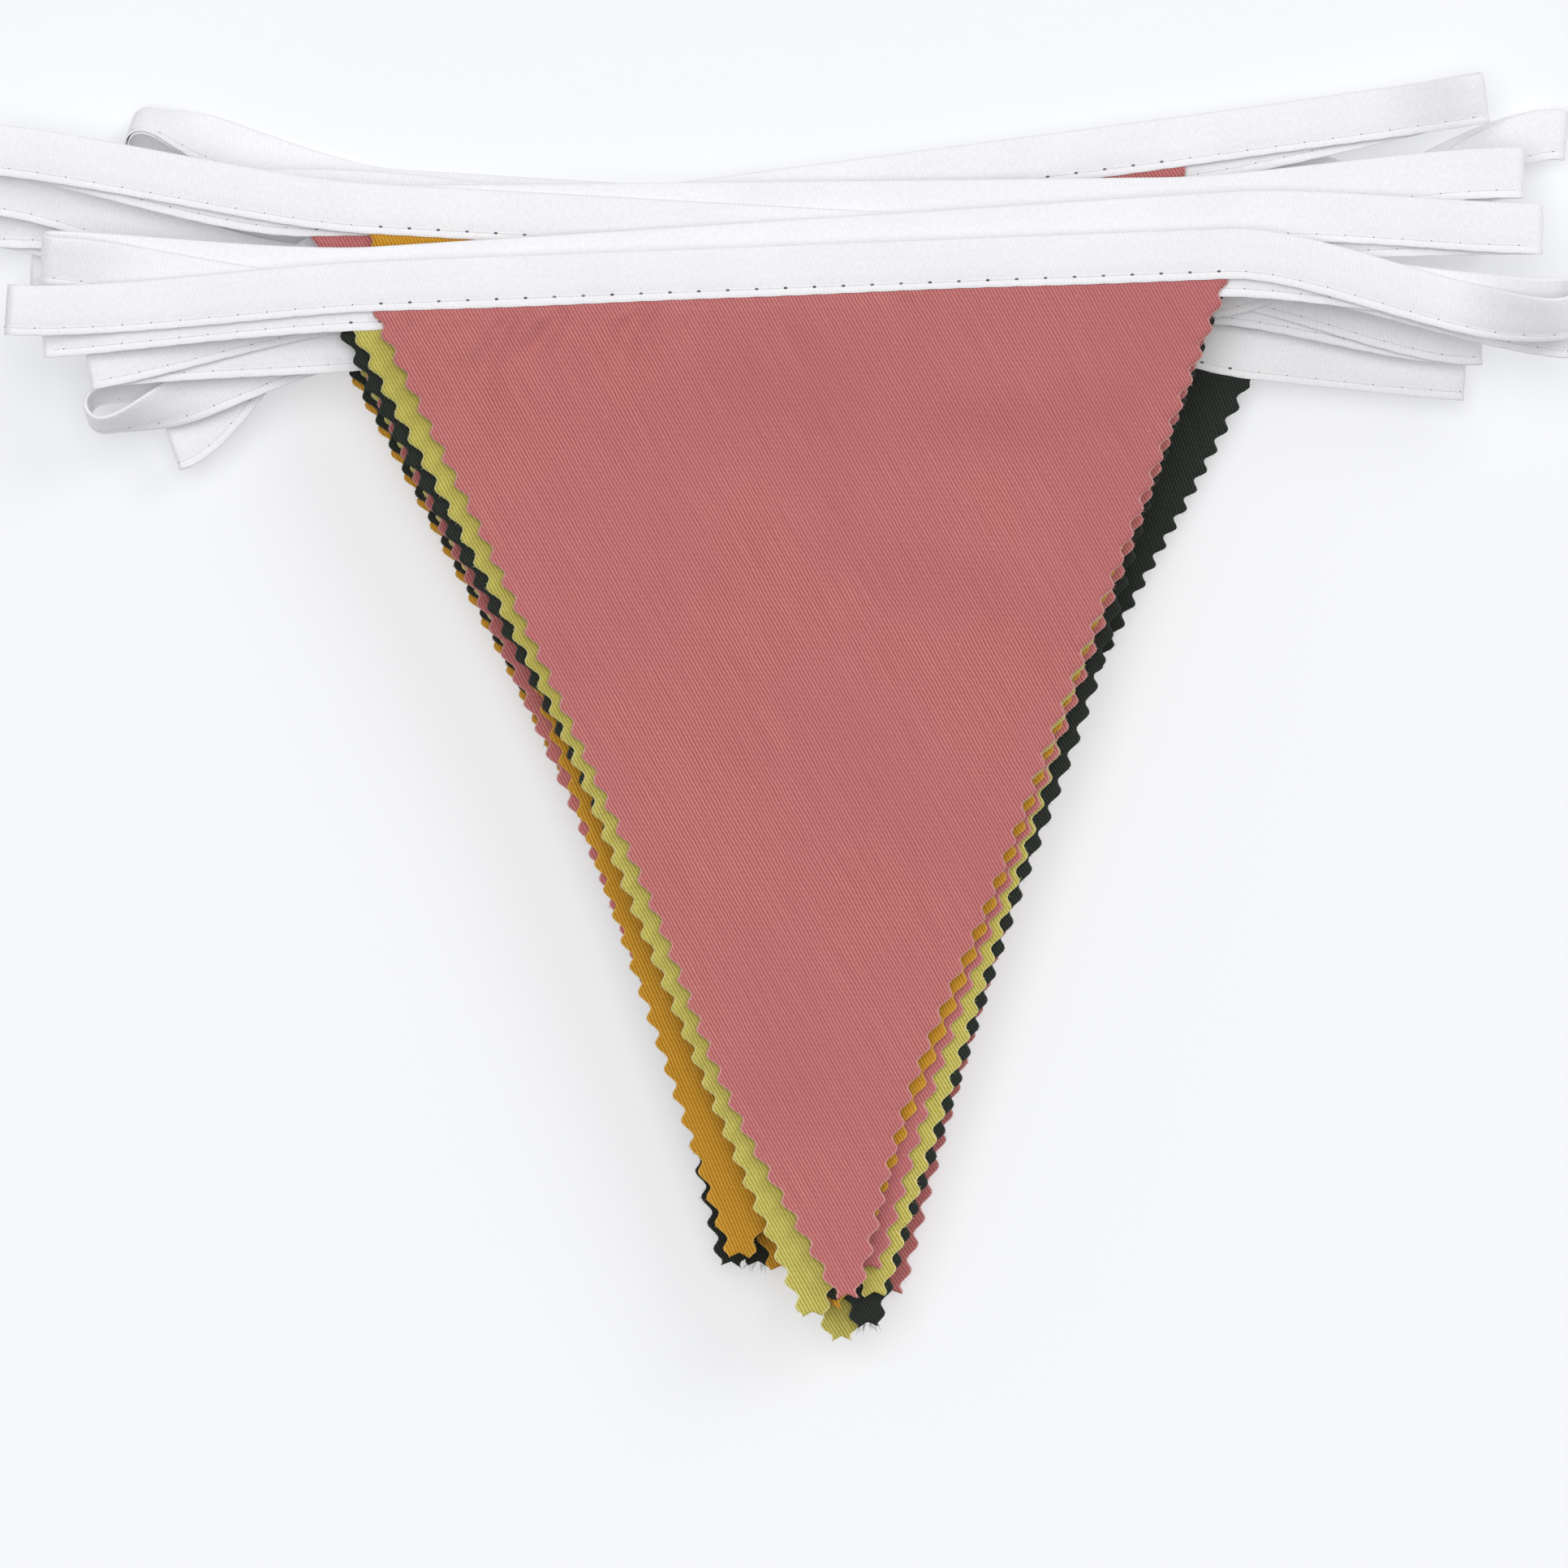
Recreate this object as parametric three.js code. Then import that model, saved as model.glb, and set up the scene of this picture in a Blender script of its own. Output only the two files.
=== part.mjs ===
// A fabric bunting, folded up and laid flat: a pile of pinked cotton twill pennants, each sewn
// along its top edge to one long white tape that runs back and forth over the pile.
// X is to the right, Y away from the pennants' tips, Z up. All sizes are in millimetres.
import * as THREE from "three";

// Driving sizes
const pennantWidth = 169;
const pennantHeight = 198;
const tipWidth = 4;
const clothThickness = 1.0;
const sideHollow = 1.3;
const toothPitch = 5.4;
const toothDepth = 1.6;
const tapeWidth = 10;
const tapeThickness = 1.0;
const seamGap = 0.3;
const layerGap = 0.3;
const layerPitch = clothThickness + layerGap;
const tipLift = 1.6;
const tipLiftLength = 34;
const sagStart = 18;
const sagDepth = 90;
const twistStart = 0.62;
const pileShift = { x: 0.02, y: -0.27 };

// How finely the bends are drawn
const legSteps = 7;
const foldSteps = 4;
const softLength = 42;
const gatherColumns = 12;
const sagColumns = 4;

// The pennants from the top of the pile down. x and y place the middle of the tape's lower edge
// over the pennant, turn is the slope of that edge in degrees, sag is how far its right end droops.
// tooth is how far down the first crest of the pinked sides is. drift is how far the cloth leans
// to the right, at equal steps from the sewn edge to the tip.
const pile = [
  { cloth: "rose", x: 4.2, y: 81.3, turn: 2.2, sag: 0, tooth: 0.1, drift: [0, 0.35, 0.2, -0.3, -2.2, 1.6] },
  { cloth: "olive", x: 0.3, y: 77.8, turn: 2.3, sag: 0, tooth: 2.45, drift: [0, 1.8, 3.1, 0.9, -0.7, -1.6] },
  { cloth: "charcoal", x: -3.6, y: 80.6, turn: 2.3, sag: 0, tooth: 4.4, drift: [0, 1.6, 4.7, 5.2, 3.6, 4.9] },
  { cloth: "mustard", x: 1.9, y: 79, turn: 2.6, sag: 0, tooth: 0.45, drift: [0, 0.2, 1.6, 1.6, 0.1, -0.6] },
  { cloth: "rose", x: 5.6, y: 86.6, turn: 3.7, sag: 0, tooth: 4.3, drift: [0, 1.2, 1, 0.2, -1.4, -0.5] },
  { cloth: "olive", x: 4, y: 81.1, turn: 4.3, sag: 0, tooth: 4.3, drift: [0, -0.6, -0.4, 0.2, 0.2, 0] },
  { cloth: "charcoal", x: 3.8, y: 75.2, turn: 5.6, sag: 0, tooth: 2.1, drift: [0, -1, -0.1, -2.5, -3.8, -5.6] },
  { cloth: "mustard", x: 3.2, y: 89, turn: -3.2, sag: 0, tooth: 2.95, drift: [0, 0, 0, 0.1, 0, 0] },
  { cloth: "rose", x: -8.3, y: 94.1, turn: 0.6, sag: 0, tooth: 3.75, drift: [0, -1, 1.5, 2.1, 1.5, 0] },
  { cloth: "olive", x: 1.3, y: 72.4, turn: 3.2, sag: 0, tooth: 1.2, drift: [0, 0.8, 1.6, 1.2, 0.4, 0] },
  { cloth: "charcoal", x: -4.1, y: 80.5, turn: 5, sag: 8, tooth: 2.45, drift: [0, 0, 0, 0, 0, 0] },
  { cloth: "mustard", x: -4.9, y: 81, turn: 4.7, sag: 12, tooth: 0.15, drift: [0, 0, 0, 0, 0, 0] },
  { cloth: "rose", x: -3.2, y: 96.3, turn: 7.5, sag: 0, tooth: 0.9, drift: [0, 0, 0, 0, 0, 0] },
  { cloth: "olive", x: -2.4, y: 93.1, turn: 7.5, sag: 0, tooth: 2, drift: [0, 0, 0, 0, 0, 0] },
  { cloth: "charcoal", x: 10.9, y: 86.2, turn: -6.5, sag: 11.5, tooth: 1.35, drift: [0, 4.2, 7.7, 5.7, 3.6, 1.9] },
  { cloth: "mustard", x: 9, y: 86.2, turn: -2.5, sag: 0, tooth: 3.3, drift: [0, 1.2, 4.4, 2.5, 0, 0] },
  { cloth: "rose", x: 0.2, y: 80.2, turn: 7, sag: 0, tooth: 4.9, drift: [0, 0, 0, -0.6, -1.6, -1.9] },
  { cloth: "olive", x: -2.4, y: 94.7, turn: 7, sag: 0, tooth: 2.8, drift: [0, 0, 0, 0, 0, 0] },
  { cloth: "charcoal", x: 9.6, y: 86.7, turn: -4, sag: 0, tooth: 4.1, drift: [0, 0, 0, 0, 0, 0] },
  { cloth: "mustard", x: 8, y: 92, turn: -3.5, sag: 0, tooth: 1.7, drift: [0, 0, 0, 0, 0, 0] },
];

// The ends of the tape's runs, in order along it: the top run's cut end, then the folds by turns
// on the right and on the left. turn is the slope of the tape there, open is how far apart the
// fold holds its two runs, rise lifts the fold, tilt stands the tape on edge, and twist is where
// along the legs that begins.
const ends = [
  { x: -152.3, y: 78.4, turn: -4, open: 0, rise: 3, tilt: 0 },
  { x: 153.6, y: 78.5, turn: 6, open: 7, rise: 3.8, tilt: 36 },
  { x: -144.3, y: 74, turn: 4, open: 1.3, rise: 0, tilt: 0 },
  { x: 155.2, y: 74, turn: -4, open: 1.3, rise: -2.4, tilt: 0 },
  { x: -143.2, y: 88.8, turn: -3, open: 4, rise: 1.3, tilt: 20 },
  { x: 149.1, y: 94.7, turn: 0, open: 2.6, rise: 0.6, tilt: 0 },
  { x: -135.5, y: 68, turn: 9, open: 1.3, rise: 2.2, tilt: 0, twist: 0.3 },
  { x: 138.7, y: 80, turn: 3, open: 1.3, rise: 0, tilt: 0 },
  { x: -155.5, y: 110.4, turn: -5, open: 3.2, rise: 0.9, tilt: 0 },
  { x: 145.6, y: 105.9, turn: -1, open: 2.6, rise: 0.6, tilt: 0 },
  { x: -133.8, y: 59, turn: 10, open: 6.2, rise: 0.8, tilt: 74, twist: 0.5 },
  { x: 138.1, y: 73, turn: 2, open: 1.3, rise: 0, tilt: 0 },
  { x: -119.4, y: 52.2, turn: 18, open: 1.3, rise: -2.2, tilt: 0, twist: 0.3 },
  { x: 138.4, y: 120.7, turn: 8, open: 2.4, rise: 4, tilt: 10 },
  { x: -155.5, y: 102.5, turn: -4, open: 3, rise: 4, tilt: 0 },
  { x: 135, y: 66.2, turn: -3, open: 1.3, rise: 0, tilt: 0 },
  { x: -155.5, y: 96.5, turn: -2, open: 1.3, rise: 2, tilt: 0 },
  { x: 141.3, y: 96, turn: 2, open: 1.3, rise: 0, tilt: 0 },
  { x: -147.5, y: 87.5, turn: -4, open: 1.3, rise: 0.3, tilt: 0 },
  { x: 154.7, y: 113.9, turn: -4, open: 2.4, rise: 3, tilt: 0 },
  { x: -125.5, y: 113.9, turn: -14, open: 6.4, rise: 6.1, tilt: -58 },
];

// The bottom run's cut end, past the last fold.
const bottomTail = { x: -114.6, y: 104.4, turn: -10, tilt: -22 };

// Soft gathers of the top pennant under its seam: x along the sewn edge, lean across for each
// millimetre down, half width, height and how far down each one dies out.
const gathers = [
  { x: -52, lean: -0.9, half: 5.0, height: 0.9, fade: 17 },
  { x: -30, lean: -0.8, half: 4.2, height: 1.2, fade: 22 },
  { x: -13, lean: -0.7, half: 4.6, height: 1.0, fade: 20 },
  { x: 8, lean: -0.5, half: 5.5, height: 0.7, fade: 16 },
  { x: 46, lean: 0.3, half: 7.0, height: 0.6, fade: 15 },
];

const clothColours = { rose: 0xc0656a, olive: 0xbfb552, charcoal: 0x2f3330, mustard: 0xd0901f };
const tapeColour = 0xf4f3ef;

const upward = new THREE.Vector3(0, 0, 1);

function radians(degrees) {
  return degrees * Math.PI / 180;
}

function smooth(value) {
  const t = Math.min(Math.max(value, 0), 1);
  return t * t * (3 - 2 * t);
}

// How far the cloth of a pennant droops, at a distance along its sewn edge and a depth below it.
function sagAt(sag, x, depth) {
  return sag * smooth((x - sagStart) / (pennantWidth / 2 - sagStart)) * (1 - smooth(depth / sagDepth));
}

// Middle height of a layer; the last pennant's layer lies on the surface.
function layerHeight(index) {
  return (pile.length - 1 - index) * layerPitch + clothThickness / 2;
}

function slopeWay(turn) {
  return new THREE.Vector3(Math.cos(radians(turn)), Math.sin(radians(turn)), 0);
}

function slopeAcross(turn) {
  return new THREE.Vector3(-Math.sin(radians(turn)), Math.cos(radians(turn)), 0);
}

// A closed solid from one ring of corners at each station along a strip, four to a ring.
function stripGeometry(rings) {
  const points = [];
  const faces = [];
  for (const ring of rings) {
    for (const corner of ring) {
      points.push(corner.x, corner.y, corner.z);
    }
  }
  for (let i = 0; i + 1 < rings.length; i += 1) {
    for (let j = 0; j < 4; j += 1) {
      const a = i * 4 + j;
      const b = i * 4 + (j + 1) % 4;
      faces.push(a, b, a + 4);
      faces.push(b, b + 4, a + 4);
    }
  }
  const last = (rings.length - 1) * 4;
  faces.push(0, 2, 1, 0, 3, 2);
  faces.push(last, last + 1, last + 2, last, last + 2, last + 3);
  const geometry = new THREE.BufferGeometry();
  geometry.setAttribute("position", new THREE.Float32BufferAttribute(points, 3));
  geometry.setIndex(faces);
  return geometry;
}

// One leg of a run, from the side of its pennant out to a fold or a cut end. Stations hold a
// point, the way along and the way across the tape.
function tapeLeg(from, to) {
  const stations = [];
  const span = Math.hypot(to.point.x - from.point.x, to.point.y - from.point.y);
  const leave = from.way.clone().multiplyScalar(span * 0.8);
  const arrive = to.way.clone().multiplyScalar(span * 0.75);
  const rise = to.point.z - from.point.z;
  for (let i = 1; i <= legSteps; i += 1) {
    const u = 1 - (1 - i / legSteps) ** 1.5;
    const point = new THREE.Vector3();
    point.addScaledVector(from.point, 2 * u ** 3 - 3 * u ** 2 + 1);
    point.addScaledVector(leave, u ** 3 - 2 * u ** 2 + u);
    point.addScaledVector(to.point, 3 * u ** 2 - 2 * u ** 3);
    point.addScaledVector(arrive, u ** 3 - u ** 2);
    const way = new THREE.Vector3();
    way.addScaledVector(from.point, 6 * u ** 2 - 6 * u);
    way.addScaledVector(leave, 3 * u ** 2 - 4 * u + 1);
    way.addScaledVector(to.point, 6 * u - 6 * u ** 2);
    way.addScaledVector(arrive, 3 * u ** 2 - 2 * u);
    way.z = 0;
    way.normalize();
    const across = new THREE.Vector3(-way.y, way.x, 0);
    across.multiplyScalar(Math.sign(across.y));
    const late = smooth((u - to.twist) / (1 - to.twist));
    const tilt = radians(from.tilt + (to.tilt - from.tilt) * late);
    point.z = from.point.z + rise * late;
    across.multiplyScalar(Math.cos(tilt)).addScaledVector(upward, Math.sin(tilt));
    stations.push({ point, way, across });
  }
  return stations;
}

// The frame of a fold: its middle, the way out of the pile, the way across the tape and the way
// from the run that comes in to the run that leaves.
function foldFrame(index) {
  const end = ends[index];
  const side = index % 2 === 1 ? 1 : -1;
  const tilt = radians(end.tilt);
  const level = slopeAcross(end.turn);
  const above = layerHeight(Math.max(index - 1, 0));
  const below = layerHeight(Math.min(index, pile.length - 1));
  const middle = new THREE.Vector3(end.x, end.y, (above + below) / 2 + end.rise);
  const out = slopeWay(end.turn).multiplyScalar(side);
  const across = level.clone().multiplyScalar(Math.cos(tilt)).addScaledVector(upward, Math.sin(tilt));
  const toNext = level.clone().multiplyScalar(Math.sin(tilt)).addScaledVector(upward, -Math.cos(tilt));
  return { middle, out, across, toNext, half: end.open / 2, tilt: end.tilt, twist: end.twist ?? twistStart };
}

function legEnd(fold, side) {
  const point = fold.middle.clone().addScaledVector(fold.toNext, side * fold.half);
  return { point, way: fold.out, tilt: fold.tilt, twist: fold.twist };
}

function foldStations(fold) {
  const stations = [];
  for (let i = 1; i <= foldSteps; i += 1) {
    const angle = Math.PI * i / (foldSteps + 1);
    const point = fold.middle.clone();
    point.addScaledVector(fold.toNext, -Math.cos(angle) * fold.half);
    point.addScaledVector(fold.out, Math.sin(angle) * fold.half);
    const way = fold.toNext.clone().multiplyScalar(Math.sin(angle));
    way.addScaledVector(fold.out, Math.cos(angle));
    stations.push({ point, way, across: fold.across.clone() });
  }
  return stations;
}

function turnedBack(stations) {
  const list = stations.slice().reverse();
  return list.map((s) => ({ point: s.point, way: s.way.clone().negate(), across: s.across }));
}

// The tape's run over one pennant: in from the fold before, along the sewn edge, out to the next.
function runStations(index) {
  const row = pile[index];
  const way = slopeWay(row.turn);
  const across = slopeAcross(row.turn);
  const side = index % 2 === 0 ? 1 : -1;
  const middle = new THREE.Vector3(row.x, row.y, layerHeight(index));
  middle.addScaledVector(across, tapeWidth / 2);
  const travel = way.clone().multiplyScalar(side);
  const columns = row.sag > 0 ? sagColumns : 1;
  const sewn = [];
  for (let i = 0; i <= columns; i += 1) {
    const x = side * pennantWidth * (i / columns - 0.5);
    const point = middle.clone().addScaledVector(way, x);
    point.addScaledVector(across, -sagAt(row.sag, x, 0));
    sewn.push({ point, way: travel, across });
  }
  const start = sewn[0].point;
  const finish = sewn[columns].point;
  const backward = travel.clone().negate();
  const comesFrom = { point: start, way: backward, tilt: 0 };
  const goesTo = { point: finish, way: travel, tilt: 0 };
  const inLeg = turnedBack(tapeLeg(comesFrom, legEnd(foldFrame(index), 1)));
  const outLeg = tapeLeg(goesTo, legEnd(foldFrame(index + 1), -1));
  return [...inLeg, ...sewn, ...outLeg];
}

function tapeStations() {
  const stations = [];
  for (let i = 0; i < pile.length; i += 1) {
    stations.push(...runStations(i));
    stations.push(...foldStations(foldFrame(i + 1)));
  }
  const lastFold = foldFrame(pile.length);
  const tailHeight = tapeThickness / 2 + Math.abs(Math.sin(radians(bottomTail.tilt))) * tapeWidth / 2;
  const cutEnd = {
    point: new THREE.Vector3(bottomTail.x, bottomTail.y, tailHeight),
    way: slopeWay(bottomTail.turn).negate(),
    tilt: bottomTail.tilt,
  };
  const tail = turnedBack(tapeLeg(cutEnd, legEnd(lastFold, 1)));
  const tilt = radians(bottomTail.tilt);
  const cutAcross = slopeAcross(bottomTail.turn).multiplyScalar(Math.cos(tilt));
  cutAcross.addScaledVector(upward, Math.sin(tilt));
  stations.push(...tail);
  stations.push({ point: cutEnd.point, way: slopeWay(bottomTail.turn), across: cutAcross });
  return stations;
}

function tapeRing(station) {
  const normal = station.way.clone().cross(station.across).normalize();
  const ring = [];
  for (const [a, n] of [[-1, -1], [1, -1], [1, 1], [-1, 1]]) {
    const corner = station.point.clone();
    corner.addScaledVector(station.across, a * tapeWidth / 2);
    corner.addScaledVector(normal, n * tapeThickness / 2);
    ring.push(corner);
  }
  return ring;
}

// Half the pennant's width at a depth below its sewn edge; the sides are a little hollow.
function halfWidth(depth) {
  const share = depth / pennantHeight;
  const straight = (pennantWidth + (tipWidth - pennantWidth) * share) / 2;
  return straight - sideHollow * 4 * share * (1 - share);
}

// How far a pennant's cloth has leaned to the right at a depth, on a smooth curve through its drift.
function driftAt(drift, depth) {
  const last = drift.length - 1;
  const place = Math.min(Math.max(depth / pennantHeight, 0), 1) * last;
  const i = Math.min(Math.floor(place), last - 1);
  const t = place - i;
  const a = drift[Math.max(i - 1, 0)];
  const b = drift[i];
  const c = drift[i + 1];
  const d = drift[Math.min(i + 2, last)];
  const curve = (2 * a - 5 * b + 4 * c - d) * t ** 2 + (3 * b - a - 3 * c + d) * t ** 3;
  return (2 * b + (c - a) * t + curve) / 2;
}

// Rows across a pennant: the sewn edge, then one at each crest and each notch of the pinked sides.
function pennantRows(index) {
  const step = toothPitch / 2 * pennantHeight / Math.hypot(pennantHeight, pennantWidth / 2);
  const rows = [{ depth: seamGap, half: halfWidth(0) }];
  let crest = 1;
  let depth = pile[index].tooth;
  while (depth - step > seamGap + 0.45 * step) {
    depth -= step;
    crest = -crest;
  }
  while (depth < seamGap + 0.45 * step) {
    depth += step;
    crest = -crest;
  }
  while (depth < pennantHeight - 0.4 * step) {
    rows.push({ depth, half: halfWidth(depth) + crest * toothDepth / 2 });
    depth += step;
    crest = -crest;
  }
  rows.push({ depth: pennantHeight, half: tipWidth / 2 });
  return rows;
}

// Height of the top pennant's cloth over its flat layer.
function topShape(x, depth) {
  let height = 0;
  for (const row of gathers) {
    const away = (x - row.x - row.lean * depth) / row.half;
    height += row.height * Math.exp(-away * away) * (1 - smooth(depth / (row.fade * 2)));
  }
  const toTip = Math.max(depth - pennantHeight + tipLiftLength, 0) / tipLiftLength;
  return height + tipLift * toTip * toTip;
}

// A thin closed sheet over the rows. Every row holds the same number of points as its columns
// ask for, and rows of different counts are joined by a walk along both.
function pennantGeometry(index) {
  const rows = pennantRows(index);
  const shaped = index === 0;
  const sag = pile[index].sag;
  const drift = pile[index].drift;
  const points = [];
  const faces = [];
  const starts = [];
  const counts = [];
  for (const row of rows) {
    const softColumns = shaped ? gatherColumns : sag > 0 ? sagColumns : 1;
    const columns = row.depth < softLength ? softColumns : 1;
    starts.push(points.length / 6);
    counts.push(columns + 1);
    for (let i = 0; i <= columns; i += 1) {
      const x = row.half * (2 * i / columns - 1);
      const y = -row.depth - sagAt(sag, x, row.depth);
      const z = shaped ? topShape(x, row.depth) : 0;
      const lean = driftAt(drift, row.depth);
      points.push(x + lean, y, z + clothThickness / 2);
      points.push(x + lean, y, z - clothThickness / 2);
    }
  }
  const addSheet = (a, b, c) => {
    faces.push(a * 2, b * 2, c * 2);
    faces.push(a * 2 + 1, c * 2 + 1, b * 2 + 1);
  };
  const addWall = (a, b) => {
    faces.push(a * 2, a * 2 + 1, b * 2 + 1);
    faces.push(a * 2, b * 2 + 1, b * 2);
  };
  for (let r = 0; r + 1 < rows.length; r += 1) {
    const upper = starts[r];
    const lower = starts[r + 1];
    const upperLast = counts[r] - 1;
    const lowerLast = counts[r + 1] - 1;
    let i = 0;
    let j = 0;
    while (i < upperLast || j < lowerLast) {
      if (j === lowerLast || (i < upperLast && (i + 1) * lowerLast <= (j + 1) * upperLast)) {
        addSheet(upper + i, lower + j, upper + i + 1);
        i += 1;
      } else {
        addSheet(upper + i, lower + j, lower + j + 1);
        j += 1;
      }
    }
    addWall(upper, lower);
    addWall(lower + lowerLast, upper + upperLast);
  }
  for (let i = 0; i + 1 < counts[0]; i += 1) {
    addWall(i + 1, i);
  }
  const end = rows.length - 1;
  for (let i = 0; i + 1 < counts[end]; i += 1) {
    addWall(starts[end] + i, starts[end] + i + 1);
  }
  const geometry = new THREE.BufferGeometry();
  geometry.setAttribute("position", new THREE.Float32BufferAttribute(points, 3));
  geometry.setIndex(faces);
  return geometry;
}

function matte(name, colour) {
  const material = new THREE.MeshStandardMaterial({ color: colour, roughness: 0.9, metalness: 0 });
  material.name = name;
  return material;
}

const cloths = {};
for (const [name, colour] of Object.entries(clothColours)) {
  cloths[name] = matte(`${name}_cotton_twill`, colour);
}

const group = new THREE.Group();
group.name = "fabric_bunting";

pile.forEach((row, index) => {
  const pennant = new THREE.Mesh(pennantGeometry(index), cloths[row.cloth]);
  pennant.name = `pennant_${String(index + 1).padStart(2, "0")}`;
  pennant.position.set(row.x + pileShift.x, row.y + pileShift.y, layerHeight(index));
  pennant.rotation.z = radians(row.turn);
  group.add(pennant);
});

const tapeMesh = new THREE.Mesh(stripGeometry(tapeStations().map(tapeRing)), matte("white_tape", tapeColour));
tapeMesh.name = "tape";
tapeMesh.position.set(pileShift.x, pileShift.y, 0);
group.add(tapeMesh);

export default group;
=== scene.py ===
import math
import bpy
import numpy as np
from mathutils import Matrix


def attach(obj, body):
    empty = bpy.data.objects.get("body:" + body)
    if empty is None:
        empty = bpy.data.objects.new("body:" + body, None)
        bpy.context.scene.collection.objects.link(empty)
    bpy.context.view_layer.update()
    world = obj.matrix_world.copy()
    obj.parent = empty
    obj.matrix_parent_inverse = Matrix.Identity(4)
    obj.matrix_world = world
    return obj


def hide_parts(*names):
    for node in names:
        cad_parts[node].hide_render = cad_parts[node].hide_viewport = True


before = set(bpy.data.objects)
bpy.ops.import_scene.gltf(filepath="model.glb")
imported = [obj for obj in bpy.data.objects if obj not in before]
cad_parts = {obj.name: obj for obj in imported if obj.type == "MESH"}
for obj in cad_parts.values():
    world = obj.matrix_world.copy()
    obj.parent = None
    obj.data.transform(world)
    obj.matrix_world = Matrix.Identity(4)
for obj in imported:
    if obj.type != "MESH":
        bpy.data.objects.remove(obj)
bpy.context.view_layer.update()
print("frame loaded,", len(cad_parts), "nodes")

mm = 0.001  # the frame is in metres, the sizes below are in millimetres


def smooth(value):
    t = np.clip(value, 0.0, 1.0)
    return t * t * (3 - 2 * t)


def unit(vector):
    return vector / np.linalg.norm(vector)


def turned(degrees):
    angle = math.radians(degrees)
    return np.array([math.cos(angle), math.sin(angle), 0.0])


def turnedAcross(degrees):
    angle = math.radians(degrees)
    return np.array([-math.sin(angle), math.cos(angle), 0.0])


upward = np.array([0.0, 0.0, 1.0])


# Camera, straight above the pile
view = {
    "aim": (0.98, -15.31, 25.2),  # under the middle of the picture, at the top cloth
    "distance": 3000,  # far off, so that low and high layers line up
    "span": 309.12,  # what the picture's side takes in at that height
    "sensor": 36,
}

cameraData = bpy.data.cameras.new("camera")
cameraData.sensor_width = view["sensor"]
cameraData.lens = view["sensor"] * view["distance"] / view["span"]
cameraData.clip_end = 50
camera = bpy.data.objects.new("camera", cameraData)
camera.location = [c * mm for c in view["aim"][:2]] + [(view["aim"][2] + view["distance"]) * mm]
bpy.context.scene.collection.objects.link(camera)
bpy.context.scene.camera = camera
print("camera placed")


# Materials
def linear(code):
    out = []
    for at in (1, 3, 5):
        c = int(code[at:at + 2], 16) / 255
        out.append(c / 12.92 if c <= 0.04045 else ((c + 0.055) / 1.055) ** 2.4)
    return (*out, 1.0)


def addNode(material, kind, settings=None, **inputs):
    node = material.node_tree.nodes.new(kind)
    for name, value in (settings or {}).items():
        setattr(node, name, value)
    for name, value in inputs.items():
        key = int(name[1:]) if name[0] == "i" and name[1:].isdigit() else name.replace("_", " ")
        socket = node.inputs[key]
        if isinstance(value, bpy.types.NodeSocket):
            material.node_tree.links.new(value, socket)
        else:
            socket.default_value = value
    return node


def newMaterial(name):
    material = bpy.data.materials.new(name)
    material.use_nodes = True
    material.node_tree.nodes.clear()
    return material


def closeMaterial(material, shader):
    addNode(material, "ShaderNodeOutputMaterial", Surface=shader.outputs["BSDF"])
    return material


# Cotton twill, dyed and woven: slanted wales of warp floats that stand up from grooves, with painted shade in
# the grooves and a painted highlight on the crowns, uneven yarns, small pale slubs, a dry surface with a
# little fuzz.
twill = {
    "walePitch": 0.64,
    "waleAngle": 63,  # slope of the wales on the cloth, falling to the right
    "floatLength": 1.3,  # warp floats along a wale
    "yarnLength": 16,  # how long a thick or thin place in a yarn is
    "blotch": 46,  # soft patches of dye
    "slub": 2.6,
    "wander": 7,  # between the bends of a wale
    "grain": 0.55,
    "fuzz": 0.5,  # width of the pale rim where the cut yarns end
    "roughness": 0.88,
}

# Each dye's tones: groove is painted shade in the weave's grooves, the crown colour is a painted highlight on
# the floats and also the pale slub colour, body and patch are the dyed cloth's own tones.
dyesWithWeaveShade = {
    "rose": {"groove": "#9d4e51", "body": "#ba6866", "litCrownAndSlub": "#d28d85", "patch": "#b3626c",
             "fibre": "#e2b0ab", "sheen": 0.12},
    "olive": {"groove": "#8f8733", "body": "#bfb352", "litCrownAndSlub": "#dbd17a", "patch": "#b9b04e",
              "fibre": "#e6e0a4", "sheen": 0.12},
    "charcoal": {"groove": "#131614", "body": "#20251f", "litCrownAndSlub": "#353b34", "patch": "#1d221e",
                 "fibre": "#3f4540", "sheen": 0.03},
    "mustard": {"groove": "#93600e", "body": "#ca911f", "litCrownAndSlub": "#e2ac3e", "patch": "#c2891c",
                "fibre": "#e4b558", "sheen": 0.12},
}


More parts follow.
